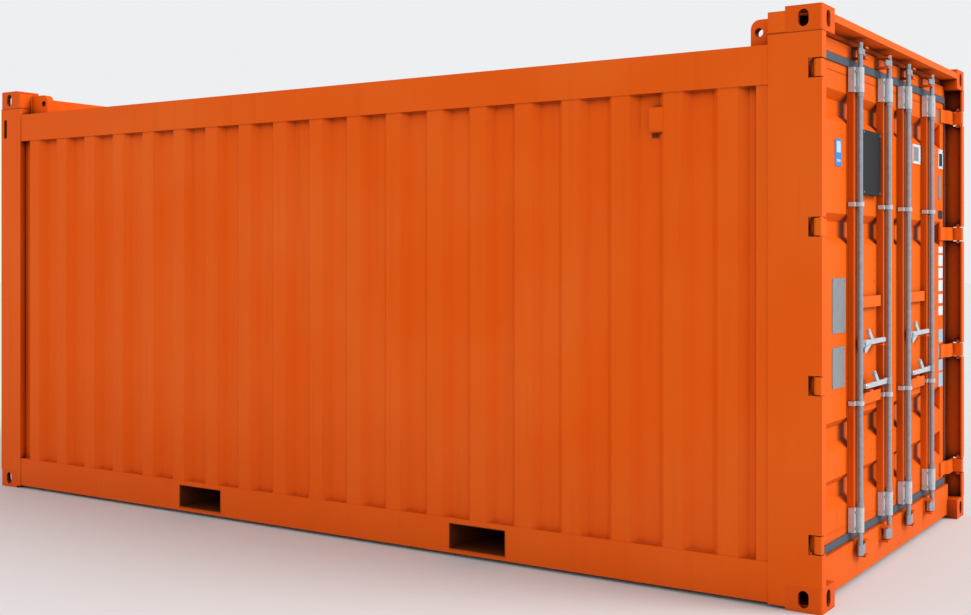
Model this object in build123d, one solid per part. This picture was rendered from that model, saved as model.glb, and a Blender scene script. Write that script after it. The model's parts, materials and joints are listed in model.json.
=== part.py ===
from build123d import *
import os

# Offshore container: a steel cargo box with two hinged doors at its +X end.
# Millimetres, +Z up, origin on the ground at the middle of the box.
# "Depth" is measured back from the door end, "inset" inwards from a long side.

# Overall size
LENGTH = 6058.0
WIDTH = 2438.0
HEIGHT = 2743.0
CUT_OVERRUN = 5.0

# Corner castings
CASTING_LENGTH = 178.0
CASTING_WIDTH = 162.0
CASTING_HEIGHT = 118.0
CASTING_WALL = 20.0
CASTING_DECK = 28.0
CASTING_ROUND = 12.0
DECK_HOLE_LENGTH = 124.5
DECK_HOLE_WIDTH = 63.5
FACE_HOLE_HEIGHT = 79.5
FACE_HOLE_WIDTH = 51.0

# Corner posts
POST_FOOT = 15.0
POST_HEAD_DROP = 20.0
POST_WALL = 12.0
POST_LIP_WIDTH = 52.0
POST_LIP_THICKNESS = 8.0
DOOR_POST_LENGTH = 263.0
DOOR_POST_INSET = 150.0
DOOR_POST_SETBACK = 105.0
REAR_POST_LENGTH = 214.0
REAR_POST_INSET = 160.0
LASH_SLOT_EDGE = 29.0
LASH_SLOT_WIDTH = 33.0
LASH_SLOT_HEIGHT = 132.0
LASH_SLOT_DROP = 193.0

# Side rails
RAIL_INSET = 5.0
TOP_RAIL_DROP = 166.0
TOP_RAIL_HEIGHT = 182.0
TOP_RAIL_WALL = 8.0
BOTTOM_RAIL_FOOT = 20.0
BOTTOM_RAIL_HEIGHT = 185.0
BOTTOM_RAIL_FLANGE = 75.0
BOTTOM_RAIL_WALL = 8.0

# Fork pockets through the bottom rails
POCKET_WIDTH = 360.0
POCKET_HEIGHT = 130.0
POCKET_FOOT = 45.0
POCKET_WALL = 6.0
FRONT_POCKET_DEPTH = 1925.0
REAR_POCKET_DEPTH = 4048.0

# Corrugated sheets
SHEET = 4.0
WALL_INSET = 11.0
WALL_STRIP = 62.0
WALL_STEP_RUN = 20.0
WALL_WAVE_COUNT = 19
WAVE_DEPTH = 38.0
WAVE_SLOPE = 45.0
WAVE_CREST = 100.0
REAR_WALL_SETBACK = 20.0
REAR_WAVE_COUNT = 7
ROOF_WAVE_COUNT = 17
ROOF_WAVE_DEPTH = 20.0
ROOF_WAVE_SLOPE = 40.0
ROOF_WAVE_CREST = 150.0
ROOF_DROP = 3.0

# Header and sill at the door end
HEADER_DROP = 25.0
HEADER_LIP = 35.0
HEADER_FACE_DEPTH = 85.0
HEADER_FACE_HEIGHT = 63.0
HEADER_RECESS_DEPTH = 105.0
HEADER_BEVEL = 20.0
HEADER_BACK_DEPTH = 160.0
STOP_THICKNESS = 18.0
STOP_DROP = 47.0
SILL_FACE_DEPTH = 60.0
SILL_BACK_DEPTH = 160.0
SILL_FOOT = 25.0
SILL_HEIGHT = 183.0
SILL_WALL = 8.0

# Header and sill at the rear end
REAR_BEAM_SETBACK = 10.0
REAR_BEAM_LENGTH = 100.0
REAR_BEAM_WALL = 8.0

# Floor
FLOOR_THICKNESS = 25.0
BEARER_FLANGE = 45.0
BEARER_WALL = 6.0
BEARERS_PER_BAY = 3

# Pad eyes on the top rails
PAD_INSET = 88.0
PAD_THICKNESS = 45.0
PAD_END_DEPTH = 387.0
PAD_HEIGHT = 136.0
PAD_ROUND = 45.0
PAD_HOLE_DEPTH = 345.0
PAD_HOLE_RISE = 76.0
PAD_HOLE_RADIUS = 21.0

# Vent covers on the long sides
VENT_WAVE_COUNT = 2
VENT_WIDTH = 82.0
VENT_HEIGHT = 122.0
VENT_DROP = 129.0
VENT_INSET = 4.0
VENT_BEVEL = 8.0

# Door leaves
DOOR_EDGE_GAP = 18.0
DOOR_FOOT_GAP = 8.0
DOOR_HEAD_GAP = 8.0
MEETING_GAP = 16.0
DOOR_FACE_DEPTH = 85.0
DOOR_THICKNESS = 50.0
STILE_WIDTH = 70.0
DOOR_RAIL_HEIGHT = 75.0
VALLEY_SHARES = (0.107, 0.2235, 0.647, 0.898)
VALLEY_HEIGHT = 148.0
VALLEY_DEPTH = 40.0
VALLEY_SLOPE = 38.0
GASKET_BAND = 34.0
GASKET_THICKNESS = 8.0
GASKET_LIP = 3.0
GASKET_LIP_LENGTH = 25.0
RIB_WIDTH = 80.0
RIB_HEIGHT = 35.0
RIB_WALL = 5.0
RIB_END_GAP = 3.0

# Hinges
HINGE_COUNT = 4
HINGE_FOOT_RISE = 94.0
HINGE_HEAD_DROP = 114.0
HINGE_PIN_DEPTH = 30.0
HINGE_PIN_INSET = 24.0
HINGE_PIN_RADIUS = 9.0
HINGE_PIN_PLAY = 0.5
KNUCKLE_RADIUS = 17.0
KNUCKLE_SETBACK = 3.0
KNUCKLE_ROUND = 8.0
BLADE_HEIGHT = 80.0
BLADE_THICKNESS = 12.0
BLADE_DROP = 25.0
BLADE_NECK_START = 5.0
BLADE_JOG_RUN = 22.0
BLADE_LANDING = 92.0
NOTCH_DEPTH = 66.0
NOTCH_GAP = 5.0
LUG_THICKNESS = 12.0

# Lock bars, guides and keepers
INNER_BAR_OFFSET = 170.0
OUTER_BAR_OFFSET = 620.0
BAR_DEPTH = 30.0
BAR_RADIUS = 13.0
BAR_PLAY = 0.5
BAR_HEAD_DROP = 88.0
SLEEVE_WALL = 5.5
SADDLE_THICKNESS = 5.0
SADDLE_WING = 26.0
SLEEVE_HEIGHT = 122.0
CLAMP_HEIGHT = 22.0
SLEEVE_COLLAR_GAP = 2.0
UPPER_CLAMP_SHARE = 0.699
LOWER_CLAMP_DROP = 74.0
COLLAR_RADIUS = 16.5
COLLAR_HEIGHT = 20.0
CAM_REACH = 58.0
CAM_TAIL = 23.0
CAM_ROOT_RADIUS = 16.0
CAM_TIP_RADIUS = 7.0
CAM_PLAY = 6.0
JAW_THICKNESS = 9.0
JAW_START = 27.0
JAW_WIDTH = 46.0
JAW_FRONT_DEPTH = 12.0
KEEPER_PLATE = 8.0
BOTTOM_KEEPER_HEIGHT = 81.0
TOP_KEEPER_HEIGHT = 60.0
KEEPER_EDGE = 3.0

# Handles and their catches
UPPER_HANDLE_SHARE = 0.408
LOWER_HANDLE_SHARE = 0.3155
HANDLE_END_GAP = 70.0
HANDLE_HEIGHT = 28.0
HANDLE_THICKNESS = 14.0
HANDLE_TAPER = 2.0
HANDLE_EDGE = 2.5
HASP_START = 180.0
HASP_LEAN = 60.0
HASP_RISE = 56.0
HASP_RADIUS = 13.0
HASP_HOLE_RADIUS = 5.0
HEEL_START = 62.0
HEEL_DROP = 36.0
HEEL_END = 150.0
HEEL_RADIUS = 13.0
FORK_OFFSET = 36.0
FORK_PLAY = 1.0
FORK_EAR = 5.0
FORK_RADIUS = 16.0
FORK_COLLAR_HEIGHT = 44.0
FORK_COLLAR_RADIUS = 15.0
FORK_PIN_RADIUS = 5.0
FORK_PIN_PLAY = 0.4
CATCH_END_GAP = 62.0
CATCH_WIDTH = 40.0
CATCH_PLATE = 6.0
CATCH_PLAY = 6.0
CATCH_FRONT_DEPTH = 14.0
CATCH_TAB_GAP = 9.0
CATCH_TAB_RISE = 10.0
GUARD_RISE = 200.0
GUARD_DROP = 68.0
GUARD_WIDTH = 330.0
GUARD_HEIGHT = 56.0
GUARD_REACH = 30.0
GUARD_WALL = 6.0

# Places that follow from the sizes above
DOOR_END = LENGTH / 2
REAR_END = -LENGTH / 2
LEFT_SIDE = -WIDTH / 2
TOP_RAIL_TOP = HEIGHT - TOP_RAIL_DROP
TOP_RAIL_FOOT = TOP_RAIL_TOP - TOP_RAIL_HEIGHT
BOTTOM_RAIL_TOP = BOTTOM_RAIL_FOOT + BOTTOM_RAIL_HEIGHT
POST_HEAD = HEIGHT - POST_HEAD_DROP
HEADER_TOP = HEIGHT - HEADER_DROP
STOP_FOOT = TOP_RAIL_TOP - STOP_DROP
SILL_TOP = SILL_FOOT + SILL_HEIGHT
DOOR_FOOT = SILL_TOP + DOOR_FOOT_GAP
DOOR_HEAD = TOP_RAIL_TOP - DOOR_HEAD_GAP
DOOR_HEIGHT = DOOR_HEAD - DOOR_FOOT
DOOR_INSET = DOOR_POST_INSET + DOOR_EDGE_GAP
DOOR_BACK_DEPTH = DOOR_FACE_DEPTH + DOOR_THICKNESS
FLOOR_FOOT = POCKET_FOOT + POCKET_HEIGHT + POCKET_WALL
RIB_FACE_DEPTH = DOOR_FACE_DEPTH - RIB_HEIGHT
UPPER_HANDLE_Z = DOOR_FOOT + UPPER_HANDLE_SHARE * DOOR_HEIGHT
LOWER_HANDLE_Z = DOOR_FOOT + LOWER_HANDLE_SHARE * DOOR_HEIGHT
HANDLE_LENGTH = OUTER_BAR_OFFSET - INNER_BAR_OFFSET - HANDLE_END_GAP
HINGE_SPACING = (DOOR_HEIGHT - HINGE_FOOT_RISE - HINGE_HEAD_DROP) / (HINGE_COUNT - 1)
HINGE_HEIGHTS = [DOOR_FOOT + HINGE_FOOT_RISE + HINGE_SPACING * i for i in range(HINGE_COUNT)]
NOTCH_HEIGHT = BLADE_HEIGHT + 2 * NOTCH_GAP

# Each lock bar: its place across the doors, the way its handle points and its handle's height
BARS = (
    (-OUTER_BAR_OFFSET, 1, UPPER_HANDLE_Z),
    (-INNER_BAR_OFFSET, -1, LOWER_HANDLE_Z),
    (INNER_BAR_OFFSET, 1, UPPER_HANDLE_Z),
    (OUTER_BAR_OFFSET, -1, LOWER_HANDLE_Z),
)


# Helpers
def block(x_span, y_span, z_span):
    """A box between two places along each axis."""
    spans = (x_span, y_span, z_span)
    sizes = [max(span) - min(span) for span in spans]
    middles = [sum(span) / 2 for span in spans]
    return Pos(*middles) * Box(*sizes)


def depths(near, far):
    """The x places of two depths behind the door end."""
    return (DOOR_END - near, DOOR_END - far)


def rear_depths(near, far):
    """The x places of two depths in from the rear end."""
    return (REAR_END + near, REAR_END + far)


def insets(near, far):
    """The y places of two insets from the left side."""
    return (LEFT_SIDE + near, LEFT_SIDE + far)


def across(inset):
    """The y places of one inset from both long sides."""
    return (LEFT_SIDE + inset, -LEFT_SIDE - inset)


def on_right(shape):
    """The same shape on the right-hand side."""
    return mirror(shape, Plane.XZ)


def at_rear(shape):
    """The same shape at the rear end."""
    return mirror(shape, Plane.YZ)


def at_top(shape):
    """The same shape upside down at the top."""
    return mirror(shape, Plane.XY.offset(HEIGHT / 2))


def group(shapes):
    """Separate solids kept together in one piece of the list."""
    return Compound([solid for shape in shapes for solid in shape.solids()])


def both_sides(shape):
    return group([shape, on_right(shape)])


def four_corners(shape):
    pair = [shape, on_right(shape)]
    return group(pair + [at_rear(one) for one in pair])


def outline(points):
    return make_face(Polyline(*points, close=True))


def bent_sheet(line, thickness):
    """The face of a bent sheet: a line of bends and the same line moved sideways."""
    bends = [Vector(*point) for point in line]
    normals = [(b - a).normalized().rotate(Axis.Z, 90) for a, b in zip(bends, bends[1:])]
    moved = []
    for bend, before, after in zip(bends, normals[:1] + normals, normals + normals[-1:]):
        moved.append(bend + (before + after) * (thickness / (1 + before.dot(after))))
    return outline(bends + moved[::-1])


def waves(start, pitch, count, crest, slope):
    """Places of the four bends of each wave along a sheet: up, crest, down."""
    valley = pitch - crest - 2 * slope
    places = []
    for i in range(count):
        rise = start + i * pitch + valley / 2
        places.append((rise, rise + slope, rise + slope + crest, rise + 2 * slope + crest))
    return places


def along_y(section, y_span):
    """A section drawn in x and z, run along y."""
    solid = extrude(Plane.XZ * section, abs(y_span[1] - y_span[0]) / 2, both=True)
    return Pos(0, sum(y_span) / 2, 0) * solid


def along_x(section, x_span):
    """A section drawn in y and z, run along x."""
    solid = extrude(Plane.YZ * section, abs(x_span[1] - x_span[0]) / 2, both=True)
    return Pos(sum(x_span) / 2, 0, 0) * solid


def along_z(section, z_span):
    """A section drawn in x and y, run upwards."""
    return Pos(0, 0, min(z_span)) * extrude(section, abs(z_span[1] - z_span[0]))


def rod(x, y, radius, z_span):
    return along_z(Pos(x, y) * Circle(radius), z_span)


def corner_space(z_span):
    """The space that a corner casting takes at the left of the door end."""
    return block(
        depths(-CUT_OVERRUN, CASTING_LENGTH), insets(-CUT_OVERRUN, CASTING_WIDTH), z_span
    )


def clear_of_castings(shape):
    """Cuts the shape back to the faces of the two left castings at the door end."""
    shape = shape - corner_space((-CUT_OVERRUN, CASTING_HEIGHT))
    return shape - corner_space((HEIGHT - CASTING_HEIGHT, HEIGHT + CUT_OVERRUN))


# Corner castings
def corner_casting():
    """The left bottom casting of the door end: hollow, with holes in its three outer faces."""
    x_span = depths(0, CASTING_LENGTH)
    y_span = insets(0, CASTING_WIDTH)
    body = block(x_span, y_span, (0, CASTING_HEIGHT))
    outer_edge = body.edges().filter_by(Axis.Z).sort_by(Axis.X)[-2:].sort_by(Axis.Y)[0]
    body = fillet(outer_edge, CASTING_ROUND)
    hollow = block(
        depths(CASTING_WALL, CASTING_LENGTH - CASTING_WALL),
        insets(CASTING_WALL, CASTING_WIDTH - CASTING_WALL),
        (CASTING_DECK, CASTING_HEIGHT - CASTING_WALL),
    )
    middle_x, middle_y = sum(x_span) / 2, sum(y_span) / 2
    face_height = CASTING_HEIGHT / 2
    deck_hole = Pos(middle_x, middle_y) * SlotOverall(DECK_HOLE_LENGTH, DECK_HOLE_WIDTH)
    face_hole = SlotOverall(FACE_HOLE_HEIGHT, FACE_HOLE_WIDTH, rotation=90)
    body = body - hollow
    body = body - along_z(deck_hole, (-CUT_OVERRUN, CASTING_DECK + CUT_OVERRUN))
    through = (-CUT_OVERRUN, CASTING_WALL + CUT_OVERRUN)
    body = body - along_y(Pos(middle_x, face_height) * face_hole, insets(*through))
    return body - along_x(Pos(middle_y, face_height) * face_hole, depths(*through))


# Corner posts
def door_post_length(span):
    """One length of the door post: a hollow box behind, and an outer flange that reaches forward."""
    box = block(depths(DOOR_POST_SETBACK, DOOR_POST_LENGTH), insets(0, DOOR_POST_INSET), span)
    inside = block(
        depths(DOOR_POST_SETBACK + POST_WALL, DOOR_POST_LENGTH - POST_WALL),
        insets(POST_WALL, DOOR_POST_INSET - POST_WALL),
        span,
    )
    flange = block(depths(0, DOOR_POST_LENGTH), insets(0, POST_WALL), span)
    return box + flange - inside


def door_post():
    """Between the castings the flange has a front lip and hinge notches; short lengths stand beside them."""
    foot, head = CASTING_HEIGHT, HEIGHT - CASTING_HEIGHT
    lip = block(depths(0, POST_LIP_THICKNESS), insets(0, POST_LIP_WIDTH), (foot, head))
    post = door_post_length((foot, head)) + lip
    for z in HINGE_HEIGHTS:
        post = post - block(
            depths(-CUT_OVERRUN, NOTCH_DEPTH),
            insets(-CUT_OVERRUN, POST_LIP_WIDTH + CUT_OVERRUN),
            (z - NOTCH_HEIGHT / 2, z + NOTCH_HEIGHT / 2),
        )
    parts = [post]
    for span in ((POST_FOOT, foot), (head, POST_HEAD)):
        parts.append(clear_of_castings(door_post_length(span)))
    return group(parts)


def rear_post():
    """Hollow post between the castings with one lashing slot, and a filler block beside each casting."""
    foot, head = CASTING_HEIGHT, HEIGHT - CASTING_HEIGHT
    tube = block(depths(0, REAR_POST_LENGTH), insets(0, REAR_POST_INSET), (foot, head))
    inside = block(
        depths(POST_WALL, REAR_POST_LENGTH - POST_WALL),
        insets(POST_WALL, REAR_POST_INSET - POST_WALL),
        (foot, head),
    )
    slot_top = HEIGHT - LASH_SLOT_DROP
    slot = along_y(
        Pos(DOOR_END - LASH_SLOT_EDGE - LASH_SLOT_WIDTH / 2, slot_top - LASH_SLOT_HEIGHT / 2)
        * SlotOverall(LASH_SLOT_HEIGHT, LASH_SLOT_WIDTH, rotation=90),
        insets(-CUT_OVERRUN, POST_WALL + CUT_OVERRUN),
    )
    parts = [tube - inside - slot]
    for span in ((POST_FOOT, foot), (head, POST_HEAD)):
        parts.append(block(depths(CASTING_LENGTH, REAR_POST_LENGTH), insets(0, REAR_POST_INSET), span))
    return at_rear(group(parts))


# Side rails
def rail_run():
    """The x places between the door post and the rear post."""
    return (DOOR_END - DOOR_POST_LENGTH, REAR_END + REAR_POST_LENGTH)


def top_rail():
    tube = block(rail_run(), insets(RAIL_INSET, REAR_POST_INSET), (TOP_RAIL_FOOT, TOP_RAIL_TOP))
    inside = block(
        (DOOR_END, REAR_END),
        insets(RAIL_INSET + TOP_RAIL_WALL, REAR_POST_INSET - TOP_RAIL_WALL),
        (TOP_RAIL_FOOT + TOP_RAIL_WALL, TOP_RAIL_TOP - TOP_RAIL_WALL),
    )
    return tube - inside


def tunnel_block(pocket_depth, wall, y_span):
    """A fork pocket's space, with or without the wall of its tunnel."""
    half = POCKET_WIDTH / 2 + wall
    heights = (POCKET_FOOT - wall, POCKET_FOOT + POCKET_HEIGHT + wall)
    return block(depths(pocket_depth - half, pocket_depth + half), y_span, heights)


def bottom_rail():
    """A channel open to the inside, cut through for the two fork tunnels."""
    rail = block(
        rail_run(),
        insets(RAIL_INSET, RAIL_INSET + BOTTOM_RAIL_FLANGE),
        (BOTTOM_RAIL_FOOT, BOTTOM_RAIL_TOP),
    )
    rail = rail - block(
        (DOOR_END, REAR_END),
        insets(RAIL_INSET + BOTTOM_RAIL_WALL, RAIL_INSET + BOTTOM_RAIL_FLANGE + CUT_OVERRUN),
        (BOTTOM_RAIL_FOOT + BOTTOM_RAIL_WALL, BOTTOM_RAIL_TOP - BOTTOM_RAIL_WALL),
    )
    for pocket_depth in (FRONT_POCKET_DEPTH, REAR_POCKET_DEPTH):
        rail = rail - tunnel_block(pocket_depth, POCKET_WALL, across(-CUT_OVERRUN))
    return rail


def fork_tunnels():
    """Two square tubes from side to side, their mouths flush with the bottom rails."""
    tubes = []
    for pocket_depth in (FRONT_POCKET_DEPTH, REAR_POCKET_DEPTH):
        tube = tunnel_block(pocket_depth, POCKET_WALL, across(RAIL_INSET))
        tubes.append(tube - tunnel_block(pocket_depth, 0, across(-CUT_OVERRUN)))
    return group(tubes)


# Corrugated walls and roof
WALL_WAVE_START = DOOR_POST_LENGTH + WALL_STRIP
WALL_PITCH = (LENGTH - WALL_WAVE_START - REAR_POST_LENGTH) / WALL_WAVE_COUNT
WALL_WAVES = waves(WALL_WAVE_START, WALL_PITCH, WALL_WAVE_COUNT, WAVE_CREST, WAVE_SLOPE)


def side_wall_line():
    """The outer bends of the left wall in plan: a flat strip by the door post, then the waves."""
    start = WALL_WAVE_START
    valley = WALL_INSET + WAVE_DEPTH
    line = [(DOOR_POST_LENGTH, WALL_INSET), (start, WALL_INSET), (start + WALL_STEP_RUN, valley)]
    for up, near, far, down in WALL_WAVES:
        line += [(up, valley), (near, WALL_INSET), (far, WALL_INSET), (down, valley)]
    line.append((LENGTH - REAR_POST_LENGTH, valley))
    return [(DOOR_END - depth, LEFT_SIDE + inset) for depth, inset in line]


def side_wall():
    return along_z(bent_sheet(side_wall_line(), -SHEET), (BOTTOM_RAIL_TOP, TOP_RAIL_FOOT))


def rear_wall():
    near, far = across(REAR_POST_INSET)
    crest = REAR_END + REAR_WALL_SETBACK
    valley = crest + WAVE_DEPTH
    line = [(valley, near)]
    for places in waves(near, (far - near) / REAR_WAVE_COUNT, REAR_WAVE_COUNT, WAVE_CREST, WAVE_SLOPE):
        line += list(zip((valley, crest, crest, valley), places))
    line.append((valley, far))
    return along_z(bent_sheet(line, -SHEET), (BOTTOM_RAIL_TOP, STOP_FOOT))


def roof_panel():
    near = HEADER_BACK_DEPTH
    far = LENGTH - REAR_BEAM_SETBACK - REAR_BEAM_LENGTH
    crest = TOP_RAIL_TOP - ROOF_DROP
    valley = crest - ROOF_WAVE_DEPTH
    pitch = (far - near) / ROOF_WAVE_COUNT
    line = [(near, valley)]
    for places in waves(near, pitch, ROOF_WAVE_COUNT, ROOF_WAVE_CREST, ROOF_WAVE_SLOPE):
        line += list(zip(places, (valley, crest, crest, valley)))
    line.append((far, valley))
    section = bent_sheet([(DOOR_END - depth, z) for depth, z in line], SHEET)
    return along_y(section, across(REAR_POST_INSET))


# Header and sill of the door end, and the two beams of the rear end
def clear_of_end_castings(shape):
    """Cuts a cross beam back to the castings at both its ends."""
    return on_right(clear_of_castings(on_right(clear_of_castings(shape))))


def door_header():
    """Folded header: a lip over the bars' heads, a lower face and a stop behind the doors."""
    face_top = TOP_RAIL_TOP + HEADER_FACE_HEIGHT
    stop_depth = HEADER_BACK_DEPTH - STOP_THICKNESS
    section = [
        (0, HEADER_TOP - HEADER_LIP),
        (0, HEADER_TOP),
        (HEADER_BACK_DEPTH, HEADER_TOP),
        (HEADER_BACK_DEPTH, STOP_FOOT),
        (stop_depth, STOP_FOOT),
        (stop_depth, TOP_RAIL_TOP),
        (HEADER_FACE_DEPTH, TOP_RAIL_TOP),
        (HEADER_FACE_DEPTH, face_top),
        (HEADER_RECESS_DEPTH, face_top + HEADER_BEVEL),
        (HEADER_RECESS_DEPTH, HEADER_TOP - HEADER_LIP),
    ]
    beam = along_y(outline([(DOOR_END - depth, z) for depth, z in section]), across(DOOR_POST_INSET))
    return clear_of_end_castings(beam)


def hollow_beam(near, far, z_span, wall, inset):
    """A square tube across the door end."""
    tube = block(depths(near, far), across(inset), z_span)
    inside = block(depths(near + wall, far - wall), across(0), (z_span[0] + wall, z_span[1] - wall))
    return clear_of_end_castings(tube - inside)


def door_sill():
    return hollow_beam(SILL_FACE_DEPTH, SILL_BACK_DEPTH, (SILL_FOOT, SILL_TOP), SILL_WALL, DOOR_POST_INSET)


def rear_beam(z_span):
    far = REAR_BEAM_SETBACK + REAR_BEAM_LENGTH
    return at_rear(hollow_beam(REAR_BEAM_SETBACK, far, z_span, REAR_BEAM_WALL, REAR_POST_INSET))


# Floor
def floor_boards():
    """The floor between the bottom rails, cut round the four posts."""
    floor = block(
        (DOOR_END - SILL_BACK_DEPTH, REAR_END + REAR_BEAM_SETBACK + REAR_BEAM_LENGTH),
        across(RAIL_INSET + BOTTOM_RAIL_FLANGE),
        (FLOOR_FOOT, FLOOR_FOOT + FLOOR_THICKNESS),
    )
    heights = (0, HEIGHT)
    door_corner = block(depths(0, DOOR_POST_LENGTH), insets(0, DOOR_POST_INSET), heights)
    rear_corner = block(rear_depths(0, REAR_POST_LENGTH), insets(0, REAR_POST_INSET), heights)
    for corner in (door_corner, rear_corner):
        floor = floor - corner - on_right(corner)
    return floor


def floor_bearers():
    """Channels from rail to rail, spaced evenly in the bays that the fork tunnels leave."""
    foot = BOTTOM_RAIL_FOOT + BOTTOM_RAIL_WALL
    half = POCKET_WIDTH / 2 + POCKET_WALL
    y_span = across(RAIL_INSET + BOTTOM_RAIL_WALL)
    inside = (foot + BEARER_WALL, FLOOR_FOOT - BEARER_WALL)
    edges = (
        (DOOR_POST_LENGTH, FRONT_POCKET_DEPTH - half),
        (FRONT_POCKET_DEPTH + half, REAR_POCKET_DEPTH - half),
        (REAR_POCKET_DEPTH + half, LENGTH - REAR_POST_LENGTH),
    )
    bearers = []
    for near, far in edges:
        for i in range(BEARERS_PER_BAY):
            depth = near + (far - near) * (i + 1) / (BEARERS_PER_BAY + 1)
            end = depth + BEARER_FLANGE
            bearer = block(depths(depth, end), y_span, (foot, FLOOR_FOOT))
            hollow = block(depths(depth + BEARER_WALL, end + CUT_OVERRUN), across(0), inside)
            bearers.append(bearer - hollow)
    return group(bearers)


# Pad eyes and vent covers
def pad_eye(post_length):
    """A lifting eye from the post's back along the rail, with one rounded corner and a shackle hole."""
    near, far = DOOR_END - post_length, DOOR_END - PAD_END_DEPTH
    top = TOP_RAIL_TOP + PAD_HEIGHT
    plate = outline([(near, TOP_RAIL_TOP), (far, TOP_RAIL_TOP), (far, top), (near, top)])
    plate = fillet(plate.vertices().sort_by(Axis.Y)[-2:].sort_by(Axis.X)[0], PAD_ROUND)
    hole = Pos(DOOR_END - PAD_HOLE_DEPTH, TOP_RAIL_TOP + PAD_HOLE_RISE) * Circle(PAD_HOLE_RADIUS)
    return along_y(plate - hole, insets(PAD_INSET, PAD_INSET + PAD_THICKNESS))


def pad_eyes():
    return group([both_sides(pad_eye(DOOR_POST_LENGTH)), both_sides(at_rear(pad_eye(REAR_POST_LENGTH)))])


def wall_vent():
    """A bevelled cover beside one wave's crest, its back shaped to the wall that it sits on."""
    middle = TOP_RAIL_FOOT - VENT_DROP
    heights = (middle - VENT_HEIGHT / 2, middle + VENT_HEIGHT / 2)
    crest_end = WALL_WAVES[VENT_WAVE_COUNT - 1][2]
    cover = block(
        depths(crest_end, crest_end + VENT_WIDTH),
        insets(VENT_INSET, WALL_INSET + WAVE_DEPTH),
        heights,
    )
    cover = chamfer(cover.faces().sort_by(Axis.Y)[0].edges(), VENT_BEVEL)
    behind = LEFT_SIDE + REAR_POST_INSET
    line = side_wall_line()
    wall_space = outline(line + [(line[-1][0], behind), (line[0][0], behind)])
    return cover - along_z(wall_space, (BOTTOM_RAIL_TOP, TOP_RAIL_FOOT))


# Hinges
PIN_X = DOOR_END - HINGE_PIN_DEPTH
PIN_Y = LEFT_SIDE + HINGE_PIN_INSET


def hinge_lugs():
    """For each hinge two lugs on the post's flange, above and below its notch, with the pin."""
    lugs = []
    for z in HINGE_HEIGHTS:
        reach = NOTCH_HEIGHT / 2 + LUG_THICKNESS
        pair = rod(PIN_X, PIN_Y, HINGE_PIN_RADIUS, (z - reach, z + reach))
        for start in (z - reach, z + NOTCH_HEIGHT / 2):
            span = (start, start + LUG_THICKNESS)
            foot = block(
                depths(HINGE_PIN_DEPTH - KNUCKLE_RADIUS, HINGE_PIN_DEPTH + KNUCKLE_RADIUS),
                insets(POST_WALL, HINGE_PIN_INSET),
                span,
            )
            pair = pair + foot + rod(PIN_X, PIN_Y, KNUCKLE_RADIUS, span)
        flange = block(depths(0, DOOR_POST_LENGTH), insets(0, POST_WALL), (z - reach, z + reach))
        lugs.append(pair - flange)
    return group(lugs)


def hinge_blades():
    """Goosenecked blades: a capped knuckle on the pin, a neck clear of the post, a landing on the stile."""
    back = HINGE_PIN_DEPTH + BLADE_DROP + BLADE_THICKNESS
    neck = HINGE_PIN_INSET + BLADE_NECK_START
    landing = DOOR_INSET - GASKET_LIP
    line = [
        (back, neck),
        (back, landing - BLADE_JOG_RUN),
        (DOOR_FACE_DEPTH, landing),
        (DOOR_FACE_DEPTH, landing + BLADE_LANDING),
    ]
    section = bent_sheet([(DOOR_END - depth, LEFT_SIDE + inset) for depth, inset in line], -BLADE_THICKNESS)
    blades = []
    for z in HINGE_HEIGHTS:
        span = (z - BLADE_HEIGHT / 2, z + BLADE_HEIGHT / 2)
        blade = along_z(section, span)
        blade = blade + block(depths(HINGE_PIN_DEPTH, back), insets(neck, neck + BLADE_THICKNESS), span)
        cap = block(
            depths(KNUCKLE_SETBACK, HINGE_PIN_DEPTH),
            insets(KNUCKLE_SETBACK, HINGE_PIN_INSET + KNUCKLE_RADIUS),
            span,
        )
        cap = fillet(cap.edges().filter_by(Axis.Z).group_by(Axis.X)[-1], KNUCKLE_ROUND)
        blade = blade + cap + rod(PIN_X, PIN_Y, KNUCKLE_RADIUS, span)
        blades.append(blade - rod(PIN_X, PIN_Y, HINGE_PIN_RADIUS + HINGE_PIN_PLAY, span))
    return group(blades)


# Door leaf, made on the left
def leaf(depth_span, grow):
    """A block over the whole leaf, grown past its edges or shrunk inside them."""
    y_span = (LEFT_SIDE + DOOR_INSET - grow, -MEETING_GAP / 2 + grow)
    return block(depths(*depth_span), y_span, (DOOR_FOOT - grow, DOOR_HEAD + grow))


PANEL_Y = (LEFT_SIDE + DOOR_INSET + STILE_WIDTH, -MEETING_GAP / 2 - STILE_WIDTH)
PANEL_Z = (DOOR_FOOT + DOOR_RAIL_HEIGHT, DOOR_HEAD - DOOR_RAIL_HEIGHT)


def door_frame():
    return leaf((DOOR_FACE_DEPTH, DOOR_BACK_DEPTH), 0) - block(depths(0, LENGTH), PANEL_Y, PANEL_Z)


def door_panel():
    """A steel sheet with level valleys pressed into it."""
    valley_depth = DOOR_FACE_DEPTH + VALLEY_DEPTH
    line = [(DOOR_FACE_DEPTH, PANEL_Z[0])]
    for share in VALLEY_SHARES:
        middle = DOOR_FOOT + share * DOOR_HEIGHT
        low, high = middle - VALLEY_HEIGHT / 2, middle + VALLEY_HEIGHT / 2
        line += [(DOOR_FACE_DEPTH, low), (valley_depth, low + VALLEY_SLOPE)]
        line += [(valley_depth, high - VALLEY_SLOPE), (DOOR_FACE_DEPTH, high)]
    line.append((DOOR_FACE_DEPTH, PANEL_Z[1]))
    return along_y(bent_sheet([(DOOR_END - depth, z) for depth, z in line], SHEET), PANEL_Y)


RIB_Z = (DOOR_FOOT + GASKET_BAND + RIB_END_GAP, DOOR_HEAD - GASKET_BAND - RIB_END_GAP)


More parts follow.
